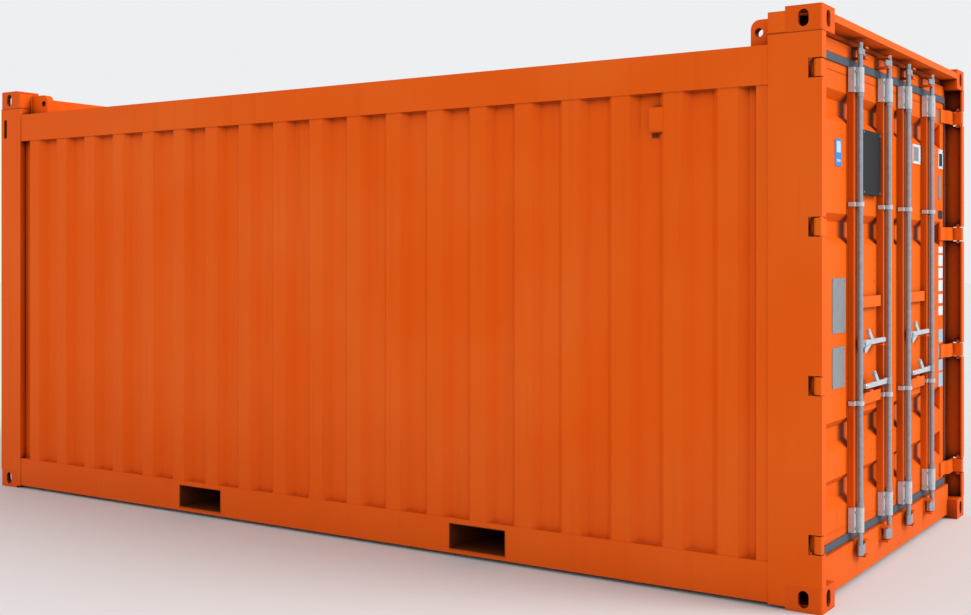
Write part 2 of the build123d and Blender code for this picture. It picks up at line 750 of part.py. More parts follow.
def door_ribs():
    """Hat sections that stand upright behind the bars and carry their guides."""
    ribs = []
    half = RIB_WIDTH / 2
    for y in (-OUTER_BAR_OFFSET, -INNER_BAR_OFFSET):
        line = [
            (DOOR_FACE_DEPTH, y - half),
            (RIB_FACE_DEPTH, y - half),
            (RIB_FACE_DEPTH, y + half),
            (DOOR_FACE_DEPTH, y + half),
        ]
        section = bent_sheet([(DOOR_END - depth, place) for depth, place in line], RIB_WALL)
        ribs.append(along_z(section, RIB_Z))
    return group(ribs)


def door_gasket():
    """A rubber lip round the leaf's edges with a band at its head and foot, cut where the blades cross."""
    front = DOOR_FACE_DEPTH - GASKET_THICKNESS
    lip_end = DOOR_FACE_DEPTH + GASKET_LIP_LENGTH
    band_z = (DOOR_FOOT + GASKET_BAND, DOOR_HEAD - GASKET_BAND)
    edges = (LEFT_SIDE + DOOR_INSET, -MEETING_GAP / 2)
    gasket = leaf((front, lip_end), GASKET_LIP) - leaf((DOOR_FACE_DEPTH, LENGTH), 0)
    gasket = gasket - block(depths(0, LENGTH), edges, band_z)
    for z in HINGE_HEIGHTS:
        half = BLADE_HEIGHT / 2 + GASKET_LIP
        crossing = (z - half, z + half)
        gasket = gasket - block(depths(0, DOOR_FACE_DEPTH), insets(0, DOOR_INSET + STILE_WIDTH), crossing)
    return gasket


# Guides that hold the bars on the ribs
SLEEVE_RADIUS = BAR_RADIUS + BAR_PLAY + SLEEVE_WALL
BAR_X = DOOR_END - BAR_DEPTH


def bar_guide(y, z_span):
    """A sleeve on a saddle that folds back over both sides of the rib."""
    inner = RIB_WIDTH / 2
    outer = inner + SADDLE_THICKNESS
    wing_end = RIB_FACE_DEPTH + SADDLE_WING
    saddle = block(depths(RIB_FACE_DEPTH - SADDLE_THICKNESS, wing_end), (y - outer, y + outer), z_span)
    saddle = saddle - block(depths(RIB_FACE_DEPTH, wing_end), (y - inner, y + inner), z_span)
    guide = saddle + rod(BAR_X, y, SLEEVE_RADIUS, z_span)
    return guide - rod(BAR_X, y, BAR_RADIUS + BAR_PLAY, z_span)


def clamp_heights():
    return (LOWER_HANDLE_Z - LOWER_CLAMP_DROP, DOOR_FOOT + UPPER_CLAMP_SHARE * DOOR_HEIGHT)


def bar_guides():
    """On each bar a long sleeve at both ends of the rib and two clamps between them."""
    guides = []
    for y in (-OUTER_BAR_OFFSET, -INNER_BAR_OFFSET):
        for low in (RIB_Z[0], RIB_Z[1] - SLEEVE_HEIGHT):
            guides.append(bar_guide(y, (low, low + SLEEVE_HEIGHT)))
        for z in clamp_heights():
            guides.append(bar_guide(y, (z - CLAMP_HEIGHT / 2, z + CLAMP_HEIGHT / 2)))
    return group(guides)


# Keepers on the sill and the header
BOTTOM_KEEPER_Z = (SILL_TOP - KEEPER_EDGE - BOTTOM_KEEPER_HEIGHT, SILL_TOP - KEEPER_EDGE)
TOP_KEEPER_Z = (TOP_RAIL_TOP + KEEPER_EDGE, TOP_RAIL_TOP + KEEPER_EDGE + TOP_KEEPER_HEIGHT)


def keeper(y, way, face_depth, z_span):
    """A plate with two jaws, open to the front, that the cam's nose lies between."""
    y_span = (y + way * JAW_START, y + way * (JAW_START + JAW_WIDTH))
    plate_depth = face_depth - KEEPER_PLATE
    parts = [block(depths(plate_depth, face_depth), y_span, z_span)]
    for low in (z_span[0], z_span[1] - JAW_THICKNESS):
        parts.append(block(depths(JAW_FRONT_DEPTH, plate_depth), y_span, (low, low + JAW_THICKNESS)))
    return group(parts)


def keepers(face_depth, z_span):
    return group([keeper(y, way, face_depth, z_span) for y, way, handle_z in BARS])


# Lock bars with their cams, collars and handle forks
def cam_span(keeper_z):
    """The heights between a keeper's jaws, less the play."""
    space = JAW_THICKNESS + CAM_PLAY
    return (keeper_z[0] + space, keeper_z[1] - space)


def cam(y, way, keeper_z):
    """A nose that lies between the keeper's jaws and a short tail behind it."""
    circles = (
        Pos(BAR_X, y) * Circle(CAM_ROOT_RADIUS)
        + Pos(BAR_X, y + way * (CAM_REACH - CAM_TIP_RADIUS)) * Circle(CAM_TIP_RADIUS)
        + Pos(BAR_X, y - way * (CAM_TAIL - CAM_TIP_RADIUS)) * Circle(CAM_TIP_RADIUS)
    )
    return along_z(make_hull(circles.edges()), cam_span(keeper_z))


def handle_fork(y, way, z):
    """A collar with two ears and the pin that the handle lifts on."""
    pin_y = y + way * FORK_OFFSET
    inner = HANDLE_THICKNESS / 2 + FORK_PLAY
    outer = inner + FORK_EAR
    fork = rod(BAR_X, y, FORK_COLLAR_RADIUS, (z - FORK_COLLAR_HEIGHT / 2, z + FORK_COLLAR_HEIGHT / 2))
    ear = Pos(pin_y, z) * Circle(FORK_RADIUS)
    ear = ear + Pos((y + pin_y) / 2, z) * Rectangle(FORK_OFFSET, 2 * FORK_RADIUS)
    for near, far in ((BAR_X - outer, BAR_X - inner), (BAR_X + inner, BAR_X + outer)):
        fork = fork + along_x(ear, (near, far))
    pin = Pos(pin_y, z) * Circle(FORK_PIN_RADIUS)
    return fork + along_x(pin, (BAR_X - outer, BAR_X + outer))


def lock_bar(y, way, handle_z):
    """A bar between two cams, with collars, the handle's fork and a short head above."""
    foot = cam_span(BOTTOM_KEEPER_Z)[1]
    head = cam_span(TOP_KEEPER_Z)
    bar = rod(BAR_X, y, BAR_RADIUS, (foot, head[0])) + handle_fork(y, way, handle_z)
    lower_collar = RIB_Z[0] + SLEEVE_HEIGHT + SLEEVE_COLLAR_GAP
    upper_collar = RIB_Z[1] - SLEEVE_HEIGHT - SLEEVE_COLLAR_GAP - COLLAR_HEIGHT
    for low in (lower_collar, upper_collar):
        bar = bar + rod(BAR_X, y, COLLAR_RADIUS, (low, low + COLLAR_HEIGHT))
    tip = rod(BAR_X, y, BAR_RADIUS, (head[1], HEIGHT - BAR_HEAD_DROP))
    return group([bar, tip, cam(y, way, BOTTOM_KEEPER_Z), cam(y, way, TOP_KEEPER_Z)])


def link(start, start_radius, end, end_radius):
    """A flat link with a round end at both places."""
    ends = Pos(*start) * Circle(start_radius) + Pos(*end) * Circle(end_radius)
    return make_hull(ends.edges())


def handle(y, way, z):
    """A flat lever on the fork's pin with a hasp that leans to the left, and a heel if it points right."""
    pin_y = y + way * FORK_OFFSET
    head = HANDLE_HEIGHT / 2
    tip = head - HANDLE_TAPER
    tip_y = y + way * (HANDLE_LENGTH - tip)
    hasp_y = y + way * HASP_START
    hasp_end = (hasp_y - HASP_LEAN, z + HASP_RISE)
    thick = (BAR_X - HANDLE_THICKNESS / 2, BAR_X + HANDLE_THICKNESS / 2)
    bar = link((pin_y, z), head, (tip_y, z), tip)
    lever = chamfer(along_x(bar, thick).faces().sort_by(Axis.X)[-1].edges(), HANDLE_EDGE)
    lever = lever - along_x(Pos(tip_y, z) * Circle(HASP_HOLE_RADIUS), thick)
    lever = lever - along_x(Pos(pin_y, z) * Circle(FORK_PIN_RADIUS + FORK_PIN_PLAY), thick)
    hasp = link((hasp_y, z), HASP_RADIUS, hasp_end, HASP_RADIUS) - Pos(*hasp_end) * Circle(HASP_HOLE_RADIUS)
    arms = [hasp - bar]
    if way > 0:
        arms.append(link((y + HEEL_START, z - HEEL_DROP), HEEL_RADIUS, (y + HEEL_END, z), tip) - bar)
    return group([lever] + [along_x(arm, thick) for arm in arms])


# Catches that the handles lie in, and the guards between the bars
def handle_catch(y, way, z):
    """A shelf under the handle's end with two tabs behind it."""
    middle = y + way * (HANDLE_LENGTH - CATCH_END_GAP)
    y_span = (middle - CATCH_WIDTH / 2, middle + CATCH_WIDTH / 2)
    shelf_top = z - HANDLE_HEIGHT / 2 - CATCH_PLAY
    shelf = (shelf_top - CATCH_PLATE, shelf_top)
    tab_depth = BAR_DEPTH + HANDLE_THICKNESS / 2 + CATCH_TAB_GAP
    parts = [block(depths(CATCH_FRONT_DEPTH, DOOR_FACE_DEPTH), y_span, shelf)]
    for depth in (tab_depth, DOOR_FACE_DEPTH - CATCH_PLATE):
        parts.append(block(depths(depth, depth + CATCH_PLATE), y_span, (shelf_top, z + CATCH_TAB_RISE)))
    return group(parts)


def handle_guard(y, z):
    """A bent strap on the panel, open above and below."""
    z_span = (z - GUARD_HEIGHT / 2, z + GUARD_HEIGHT / 2)
    front = DOOR_FACE_DEPTH - GUARD_REACH
    half = GUARD_WIDTH / 2
    inner = half - GUARD_WALL
    strap = block(depths(front, DOOR_FACE_DEPTH), (y - half, y + half), z_span)
    return strap - block(depths(front + GUARD_WALL, DOOR_FACE_DEPTH), (y - inner, y + inner), z_span)


def handle_catches(bars):
    catches = [handle_catch(*bar) for bar in bars]
    middle = sum(bar[0] for bar in bars) / len(bars)
    for z in (UPPER_HANDLE_Z + GUARD_RISE, LOWER_HANDLE_Z - GUARD_DROP):
        catches.append(handle_guard(middle, z))
    return group(catches)


# All pieces by name
bottom_casting = corner_casting()
left_wall = side_wall()
pieces = {
    "bottom_castings": four_corners(bottom_casting),
    "top_castings": four_corners(at_top(bottom_casting)),
    "door_posts": both_sides(door_post()),
    "rear_posts": both_sides(rear_post()),
    "top_rails": both_sides(top_rail()),
    "bottom_rails": both_sides(bottom_rail()),
    "fork_tunnels": fork_tunnels(),
    "left_wall": left_wall,
    "right_wall": on_right(left_wall),
    "rear_wall": rear_wall(),
    "roof_panel": roof_panel(),
    "door_header": door_header(),
    "door_sill": door_sill(),
    "rear_header": rear_beam((STOP_FOOT, HEADER_TOP)),
    "rear_sill": rear_beam((BOTTOM_RAIL_FOOT, BOTTOM_RAIL_TOP)),
    "floor_boards": floor_boards(),
    "floor_bearers": floor_bearers(),
    "pad_eyes": pad_eyes(),
    "wall_vents": both_sides(wall_vent()),
    "hinge_lugs": both_sides(hinge_lugs()),
    "bottom_keepers": keepers(SILL_FACE_DEPTH, BOTTOM_KEEPER_Z),
    "top_keepers": keepers(HEADER_FACE_DEPTH, TOP_KEEPER_Z),
}
leaf_pieces = {
    "door_frame": door_frame(),
    "door_panel": door_panel(),
    "door_ribs": door_ribs(),
    "door_gasket": door_gasket(),
    "hinge_blades": hinge_blades(),
    "bar_guides": bar_guides(),
}
for name, shape in leaf_pieces.items():
    pieces["left_" + name] = shape
    pieces["right_" + name] = on_right(shape)
pieces["left_handle_catches"] = handle_catches(BARS[:2])
pieces["right_handle_catches"] = handle_catches(BARS[2:])
for number, bar in enumerate(BARS, start=1):
    pieces[f"lock_bar_{number}"] = lock_bar(*bar)
    pieces[f"handle_{number}"] = handle(*bar)

os.makedirs("parts", exist_ok=True)
for name, shape in pieces.items():
    export_step(shape, f"parts/{name}.step")
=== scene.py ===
# %% [markdown]
# # An offshore container in the studio
# The container is a welded steel box: corner posts and rails, pressed steel sheets between them, and two doors
# with lock bars at one end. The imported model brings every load-carrying piece at its real size, so this lesson
# only adds what a welder, a fitter and a painter add: beads, bolts, plates, screens and the finish of each
# surface. Everything is in metres, +X points at the door end, and the side that we look at faces -Y.

# %% Load the frame
import json
import math

import bpy
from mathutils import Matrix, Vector


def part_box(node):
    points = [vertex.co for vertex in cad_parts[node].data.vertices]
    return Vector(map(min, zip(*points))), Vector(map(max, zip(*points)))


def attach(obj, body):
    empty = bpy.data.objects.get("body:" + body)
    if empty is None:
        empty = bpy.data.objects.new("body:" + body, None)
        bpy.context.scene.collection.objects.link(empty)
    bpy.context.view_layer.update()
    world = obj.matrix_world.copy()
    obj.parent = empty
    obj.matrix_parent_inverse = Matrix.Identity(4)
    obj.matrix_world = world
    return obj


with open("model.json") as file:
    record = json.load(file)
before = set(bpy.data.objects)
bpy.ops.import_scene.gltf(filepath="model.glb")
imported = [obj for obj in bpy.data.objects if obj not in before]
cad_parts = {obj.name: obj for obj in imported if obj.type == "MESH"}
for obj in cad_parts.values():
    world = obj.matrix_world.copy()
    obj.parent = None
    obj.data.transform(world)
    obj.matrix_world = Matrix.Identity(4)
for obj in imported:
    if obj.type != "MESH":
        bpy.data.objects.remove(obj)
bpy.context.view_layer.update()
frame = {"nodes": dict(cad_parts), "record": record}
nodes = frame["nodes"]

# %% [markdown]
# ## The camera
# A camera that stands level keeps upright edges upright, which is how the photograph looks. Its place, turn and
# focal length were worked out from the container's edges. The picture was cropped from a larger one, so the
# lens is shifted instead of tilted: shift moves the frame over the image and leaves the perspective alone.

# %% Camera
IMAGE_WIDTH, IMAGE_HEIGHT = 971, 615
CAMERA_PLACE = (4.987, -6.35, 1.62)
CAMERA_TURN = math.radians(30.3)
LEVEL = math.radians(90)
FOCAL_PIXELS = 1212.1
SENSOR_MM = 36.0
VANISHING_PIXEL = (621.1, 253.4)

camera_data = bpy.data.cameras.new("camera")
camera_data.sensor_width = SENSOR_MM
camera_data.lens = FOCAL_PIXELS / IMAGE_WIDTH * SENSOR_MM
camera_data.shift_x = 0.5 - VANISHING_PIXEL[0] / IMAGE_WIDTH
camera_data.shift_y = (VANISHING_PIXEL[1] - IMAGE_HEIGHT / 2) / IMAGE_WIDTH
camera = bpy.data.objects.new("camera", camera_data)
camera.location = CAMERA_PLACE
camera.rotation_euler = (LEVEL, 0, CAMERA_TURN)
bpy.context.collection.objects.link(camera)
bpy.context.scene.camera = camera
print("camera: lens", round(camera_data.lens, 2), "mm")

# %% [markdown]
# ## Colours and nodes
# Paint makers give colours as sRGB values, and the shaders work in linear light, so one function turns a hex
# value into the other. A second small function adds a node, sets it up and joins it to the nodes before. The
# others are short names for the nodes that every finish below uses, with pattern sizes in real millimetres.

# %% Colour and node helpers
def linear(hex_colour):
    """A colour written as an sRGB hex value, in linear light."""
    channels = [int(hex_colour[i:i + 2], 16) / 255 for i in (1, 3, 5)]
    return [c / 12.92 if c <= 0.04045 else ((c + 0.055) / 1.055) ** 2.4 for c in channels] + [1.0]


def add_node(tree, kind, inputs=None, **settings):
    """Adds a node; an input is a value, or another node's output to link."""
    node = tree.nodes.new(kind)
    for name, value in settings.items():
        setattr(node, name, value)
    for socket, value in (inputs or {}).items():
        if isinstance(value, bpy.types.NodeSocket):
            tree.links.new(value, node.inputs[socket])
        else:
            node.inputs[socket].default_value = value
    return node


def new_material(name):
    """An empty material: its tree, its shader and its object coordinates."""
    material = bpy.data.materials.new(name)
    material.use_nodes = True
    tree = material.node_tree
    shader = tree.nodes["Principled BSDF"]
    place = add_node(tree, "ShaderNodeTexCoord").outputs["Object"]
    return material, tree, shader, place


def per_metre(millimetres):
    """A texture's scale for features of a real size."""
    return 1000.0 / millimetres


def noise(tree, place, millimetres, detail):
    """Cloudy noise with features of a real size, the same in every direction."""
    inputs = {"Vector": place, "Scale": per_metre(millimetres), "Detail": detail}
    return add_node(tree, "ShaderNodeTexNoise", inputs).outputs["Fac"]


def stretched_noise(tree, place, sizes, detail):
    """Noise with features of a real size along x, y and z."""
    stretch = {"Vector": place, "Scale": [per_metre(size) for size in sizes]}
    stretched = add_node(tree, "ShaderNodeMapping", stretch).outputs[0]
    # The mapping has set the sizes, so the noise itself repeats once a metre
    return noise(tree, stretched, 1000, detail)


def calculated(tree, operation, *values):
    """The result of one sum on values or on other nodes' outputs."""
    return add_node(tree, "ShaderNodeMath", dict(enumerate(values)), operation=operation).outputs[0]


def mixed(tree, amount, first, second):
    """Two colours mixed by an amount, from 0 for the first to 1 for the second."""
    mix = add_node(tree, "ShaderNodeMix", {0: amount, 6: first, 7: second}, data_type="RGBA")
    return mix.outputs[2]


def ramp(tree, value, low, high, top, bottom=0.0):
    """A value stretched from the range low to high onto bottom to top, and held at the ends."""
    inputs = {"Value": value, "From Min": low, "From Max": high, "To Min": bottom, "To Max": top}
    return add_node(tree, "ShaderNodeMapRange", inputs).outputs[0]


# %% [markdown]
# ## Orange paint
# Two coats of semi-gloss orange alkyd are sprayed on blasted steel. Sprayed paint dries with a faint
# orange-peel ripple, fades in large soft patches, and collects dirt where water runs down. On the doors, where
# cargo and chains knock it, it chips, and small rust spots come in clusters.
# The ripple is really about 3 mm wide; it is drawn 14 mm wide here so that it shows at this distance.
# Ambient occlusion finds corners, recesses and holes, and it looks the same from every side. It paints shade into
# the colour: a long reach darkens whole recesses with painted shade and blackens deep holes, and a short reach
# draws a painted shadow line in every corner. Near the ground the painted shade of recesses and corners fades
# out, and the paint is darker evenly towards the bottom instead. Where a post meets its top casting the faces are
# flush, so no corner is found there and the seam is drawn as a dark line at its height.

# %% Orange paint
# A coat is its own colour, the colour where it has faded and a darker colour for dirt runs and for the foot
BODY_COAT = "#E65A08", "#E9671F", "#C94A0C"
DOOR_COAT = "#E65F0A", "#EA6B1C", "#C94A0C"
CASTING_COAT = "#DC540A", "#E65A08", "#C94A0C"
# The tunnel coat is dark all over, to paint the shade inside the fork tunnels
SHADED_TUNNEL_COAT = "#7A3814", "#8A441C", "#2A1408"
# The first three colours below are painted shade: in recesses, in corners, and in deep holes, where the third
# also draws the dark seam lines; the last is rust.
RECESS_SHADE, CORNER_SHADE, HOLE_SHADE_AND_SEAM_DARK, RUST = "#7A2E08", "#471808", "#180C08", "#6E3214"

# Sizes of the patterns in millimetres
PATCH_MM, CLUSTER_MM, CHIP_MM, PEEL_MM = 900, 350, 18, 14
RUN_MM = (60, 60, 1400)

# Where an effect starts, where it is full, how strong it is, and what is left of it at its start
FADED_PATCHES = (0.42, 0.68, 0.55)
DIRT_RUNS = (0.56, 0.80, 0.30)
# The paint gets darker evenly towards the bottom
DARK_FOOT = (0.9, 0.0, 0.35)
# The painted shade in recesses and corners fades out near the ground
SHADE_FADE_AT_FOOT = (0.3, 0.8, 1.0, 0.25)
# Painted shadow lines in corners
CORNER_SHADOW_LINES = (0.74, 0.30, 0.70)
RUST_CLUSTERS = (0.62, 0.74, 0.20)

# The same for three effects that each kind of paint starts or strengthens in its own way: painted shade in
# recesses, painted shade in holes, and rust chips
RECESS_SHADE_FULL = (0.25, 0.75)
HOLE_SHADE = (0.50, 0.20)
RUST_CHIPS = (0.78, 0.83)

CASTING_SEAM, SEAM_HALF, SEAM_STRENGTH = 2.6235, 0.004, 0.6
PAINT_ROUGHNESS = (0.60, 0.44)
PAINT_SHINE = 0.08
PEEL_STRENGTH, PEEL_DEPTH = 0.05, 0.002


def openness(tree, reach):
    """How open a place is within a reach: 1 on a free face, near 0 deep in a hole."""
    return add_node(tree, "ShaderNodeAmbientOcclusion", {"Distance": reach}, samples=8).outputs["AO"]


def painted_steel(name, coat, reach, recess_start=0.70, deep=0.95, corner=0.05, chipped=0.0, seams=()):
    """Paint with dirt, rust and painted shade in it.

    Painted shade darkens recesses found within reach from recess_start on, deep is how black the painted shade in
    holes gets, corner is how wide the painted shadow lines in corners are, chipped is how strong the rust is, and
    seams are heights with a drawn line.
    """
    colour, faded, dark = [linear(shade) for shade in coat]
    material, tree, shader, place = new_material(name)
    height = add_node(tree, "ShaderNodeSeparateXYZ", {"Vector": place}).outputs["Z"]
    patches = noise(tree, place, PATCH_MM, 2.0)
    runs = stretched_noise(tree, place, RUN_MM, 3.0)
    tone = mixed(tree, ramp(tree, patches, *FADED_PATCHES), colour, faded)
    tone = mixed(tree, ramp(tree, runs, *DIRT_RUNS), tone, dark)
    # Darker towards the bottom
    tone = mixed(tree, ramp(tree, height, *DARK_FOOT), tone, dark)

    # Painted shade: ambient occlusion darkens recesses, blackens deep holes and draws shadow lines in corners
    recess, crevice = openness(tree, reach), openness(tree, corner)
    shade_kept = ramp(tree, height, *SHADE_FADE_AT_FOOT)
    recess_shading = calculated(tree, "MULTIPLY", ramp(tree, recess, recess_start, *RECESS_SHADE_FULL), shade_kept)
    lines = calculated(tree, "MULTIPLY", ramp(tree, crevice, *CORNER_SHADOW_LINES), shade_kept)
    tone = mixed(tree, recess_shading, tone, linear(RECESS_SHADE))
    tone = mixed(tree, ramp(tree, recess, *HOLE_SHADE, deep), tone, linear(HOLE_SHADE_AND_SEAM_DARK))
    tone = mixed(tree, lines, tone, linear(CORNER_SHADE))
    for seam in seams:
        line = calculated(tree, "COMPARE", height, seam, SEAM_HALF)
        tone = mixed(tree, ramp(tree, line, 0.0, 1.0, SEAM_STRENGTH), tone, linear(HOLE_SHADE_AND_SEAM_DARK))

    clusters = ramp(tree, noise(tree, place, CLUSTER_MM, 1.0), *RUST_CLUSTERS)
    chips = calculated(tree, "ADD", noise(tree, place, CHIP_MM, 3.0), clusters)
    tone = mixed(tree, ramp(tree, chips, *RUST_CHIPS, chipped), tone, linear(RUST))
    tree.links.new(tone, shader.inputs["Base Color"])
    tree.links.new(ramp(tree, patches, 0.0, 1.0, *PAINT_ROUGHNESS), shader.inputs["Roughness"])

    peel = {"Height": noise(tree, place, PEEL_MM, 2.0), "Strength": PEEL_STRENGTH, "Distance": PEEL_DEPTH}
    tree.links.new(add_node(tree, "ShaderNodeBump", peel).outputs[0], shader.inputs["Normal"])
    shader.inputs["Specular IOR Level"].default_value = PAINT_SHINE
    return material


# Each kind of paint sets its own painted shade: how far recesses are looked for, how open a recess may be and
# still be darkened, how black holes are painted and how wide the corner lines are. The ribs get the strongest
# painted shade, for their dark side faces, and the hinges a short reach that darkens their gaps.
orange_paint = painted_steel("orange_alkyd_paint", BODY_COAT, reach=0.30, deep=0.5)
post_paint = painted_steel("orange_paint_on_posts", BODY_COAT, reach=0.30, seams=(CASTING_SEAM,))
door_paint = painted_steel(
    "orange_paint_on_doors", DOOR_COAT, reach=0.20, recess_start=0.60, deep=0.2, corner=0.02, chipped=0.5)
rib_paint = painted_steel(
    "orange_paint_on_ribs", DOOR_COAT, reach=0.40, recess_start=0.95, deep=0.2, corner=0.02)
hinge_paint = painted_steel("orange_paint_on_hinges", DOOR_COAT, reach=0.06, recess_start=0.60)
casting_paint = painted_steel("orange_paint_on_castings", CASTING_COAT, reach=0.30, recess_start=0.60)
shaded_tunnel_paint = painted_steel("paint_with_painted_shade_in_fork_tunnels", SHADED_TUNNEL_COAT, reach=0.40, deep=0.5)
print("paint: body", BODY_COAT[0], "doors", DOOR_COAT[0], "castings", CASTING_COAT[0])

# %% [markdown]
# ## Galvanised steel
# The lock bars and their guides are dipped in molten zinc. The zinc freezes into spangles a centimetre or two
# across, each with its own grey and its own gloss, so a Voronoi pattern sets the tone and the roughness
# The bars turn in their guides; their zinc is darker, which paints the darker reflections on them into the
# colour. The guides keep a pale zinc, and the handles get a lighter one.

# %% Galvanised steel
# The bars' zinc is darker, to paint the darker reflections on them
SHADED_BAR_ZINC = "#98A2AB", "#8A949E"
GUIDE_ZINC = "#C6CBCF", "#B6BCC2"
# The handles' zinc is lighter
HANDLE_ZINC = "#D0D4D8", "#B8BEC4"
SPANGLE_MM = 16
ZINC_ROUGHNESS = (0.34, 0.28)


def galvanised(name, light, dark, metallic):
    """Zinc whose spangles lie between a light and a dark grey."""
    material, tree, shader, place = new_material(name)
    inputs = {"Vector": place, "Scale": per_metre(SPANGLE_MM)}
    spangle = add_node(tree, "ShaderNodeTexVoronoi", inputs, feature="SMOOTH_F1")
    grey = add_node(tree, "ShaderNodeSeparateColor", {"Color": spangle.outputs["Color"]})
    tone = mixed(tree, grey.outputs[0], linear(light), linear(dark))
    tree.links.new(tone, shader.inputs["Base Color"])
    tree.links.new(ramp(tree, grey.outputs[1], 0.0, 1.0, *ZINC_ROUGHNESS), shader.inputs["Roughness"])
    shader.inputs["Metallic"].default_value = metallic
    return material


zinc = galvanised("hot_dip_galvanised_steel", *SHADED_BAR_ZINC, metallic=0.35)
guide_zinc = galvanised("dull_zinc_on_guides", *GUIDE_ZINC, metallic=0.2)
handle_zinc = galvanised("lighter_zinc_on_handles", *HANDLE_ZINC, metallic=0.5)
print("zinc: bars", SHADED_BAR_ZINC, "guides", GUIDE_ZINC, "handles", HANDLE_ZINC)

# %% [markdown]
# ## Rubber and plywood
# The door gasket is extruded EPDM rubber: dark blue-grey, matt, with a bloom of dust. The floor is 25 mm
# hardwood plywood in boards across the box, stained by use, with a dark joint every quarter of a metre.

# %% Rubber and plywood
RUBBER, RUBBER_DUSTY = "#3C4752", "#525E69"
RUBBER_ROUGHNESS, RUBBER_SHINE = 0.62, 0.3
PLYWOOD, PLYWOOD_DARK = "#8C6239", "#4E3219"
PLYWOOD_ROUGHNESS = 0.7
DUST_MM, GRAIN_MM = 120, (14, 300, 1000)
BOARD_PITCH, JOINT_WIDTH = 0.25, 0.004


def epdm_rubber(name):
    material, tree, shader, place = new_material(name)
    tone = mixed(tree, noise(tree, place, DUST_MM, 4.0), linear(RUBBER), linear(RUBBER_DUSTY))
    tree.links.new(tone, shader.inputs["Base Color"])
    shader.inputs["Roughness"].default_value = RUBBER_ROUGHNESS
    shader.inputs["Specular IOR Level"].default_value = RUBBER_SHINE
    return material


def plywood_boards(name):
    material, tree, shader, place = new_material(name)
    grain = stretched_noise(tree, place, GRAIN_MM, 4.0)
    along = add_node(tree, "ShaderNodeSeparateXYZ", {"Vector": place}).outputs["X"]
    joint = ramp(tree, calculated(tree, "PINGPONG", along, BOARD_PITCH), 0.0, JOINT_WIDTH, 0.0, 1.0)
    dark = calculated(tree, "MAXIMUM", grain, joint)
    tone = mixed(tree, dark, linear(PLYWOOD), linear(PLYWOOD_DARK))
    tree.links.new(tone, shader.inputs["Base Color"])
    shader.inputs["Roughness"].default_value = PLYWOOD_ROUGHNESS
    return material


rubber = epdm_rubber("epdm_rubber")
plywood = plywood_boards("worn_plywood_boards")
print("boards every", BOARD_PITCH, "m")

# %% [markdown]
# ## Finish the imported pieces
# Each imported piece names its material slot, so a short table from slots to materials paints the whole frame.
# A few differ: the fork tunnels get a dark coat that paints the shade inside them, the posts show their seams,
# the doors and the beams round them get the chipped paint, the ribs and hinges get their own painted shade, the
# guides keep the dull zinc, and the handles get a lighter zinc.

# %% Assign the finishes
FINISHES = {
    "orange_paint": orange_paint,
    "casting_paint": casting_paint,
    "galvanised_steel": zinc,
    "gasket_rubber": rubber,
    "floor_plywood": plywood,
}
own_finishes = {
    "fork_tunnels": shaded_tunnel_paint,
    "door_posts": post_paint,
    "rear_posts": post_paint,
    "door_header": door_paint,
    "door_sill": door_paint,
}
for number in range(1, 5):
    own_finishes[f"handle_{number}"] = handle_zinc
for door in ("left", "right"):
    for piece in ("door_frame", "door_panel", "handle_catches"):
        own_finishes[f"{door}_{piece}"] = door_paint
    own_finishes[door + "_hinge_blades"] = hinge_paint
    own_finishes[door + "_door_ribs"] = rib_paint
    own_finishes[door + "_bar_guides"] = guide_zinc
for subpart in frame["record"]["subparts"]:
    materials = nodes[subpart["node"]].data.materials
    materials.clear()
    materials.append(own_finishes.get(subpart["node"], FINISHES[subpart["material_slot"]]))
print("finished", len(nodes), "packed pieces,", len(own_finishes), "of them with a finish of their own")

# %% [markdown]
# ## Small parts that repeat
# A welder lays a bead along every seam and a fitter sets the same bolt again and again, so both are grown by
# Geometry Nodes: one tree runs a rippled round bead along paths, another sets a head on every point. The result
# is turned into a plain mesh, which rides on its body like any other piece.

# %% Trees for beads and heads
BEAD_SIDES = 6
THINNEST, THICKEST = 0.8, 1.15


def new_tree(name, inputs):
    """A tree with a geometry input, the named inputs and a geometry output."""
    tree = bpy.data.node_groups.new(name, "GeometryNodeTree")
    tree.interface.new_socket("Geometry", in_out="INPUT", socket_type="NodeSocketGeometry")
    for socket_name, kind in inputs.items():
        tree.interface.new_socket(socket_name, in_out="INPUT", socket_type="NodeSocket" + kind)
    tree.interface.new_socket("Geometry", in_out="OUTPUT", socket_type="NodeSocketGeometry")
    return tree, add_node(tree, "NodeGroupInput").outputs


def end_tree(tree, geometry, finish):
    """Makes instances real, gives them their material and ends the tree."""
    real = add_node(tree, "GeometryNodeRealizeInstances", {"Geometry": geometry}).outputs[0]
    painted = add_node(tree, "GeometryNodeSetMaterial", {"Geometry": real, "Material": finish}).outputs[0]
    add_node(tree, "NodeGroupOutput", {"Geometry": painted})


def make_bead_tree():
    """Runs a round bead along each path, a little thicker or thinner at every ripple."""
    inputs = {"Radius": "Float", "Ripple": "Float", "Seed": "Int", "Finish": "Material"}
    tree, given = new_tree("weld_bead", inputs)
    path = add_node(tree, "GeometryNodeMeshToCurve", {"Mesh": given["Geometry"]}).outputs[0]
    by_length = {"Curve": path, "Length": given["Ripple"]}
    steps = add_node(tree, "GeometryNodeResampleCurve", by_length, mode="LENGTH").outputs[0]
    limits = {2: THINNEST, 3: THICKEST, "Seed": given["Seed"]}
    swell = add_node(tree, "FunctionNodeRandomValue", limits, data_type="FLOAT").outputs[1]
    sized = add_node(tree, "GeometryNodeSetCurveRadius", {"Curve": steps, "Radius": swell}).outputs[0]
    circle = {"Resolution": BEAD_SIDES, "Radius": given["Radius"]}
    ring = add_node(tree, "GeometryNodeCurvePrimitiveCircle", circle).outputs[0]
    sweep = {"Curve": sized, "Profile Curve": ring, "Fill Caps": True}
    end_tree(tree, add_node(tree, "GeometryNodeCurveToMesh", sweep).outputs[0], given["Finish"])
    return tree


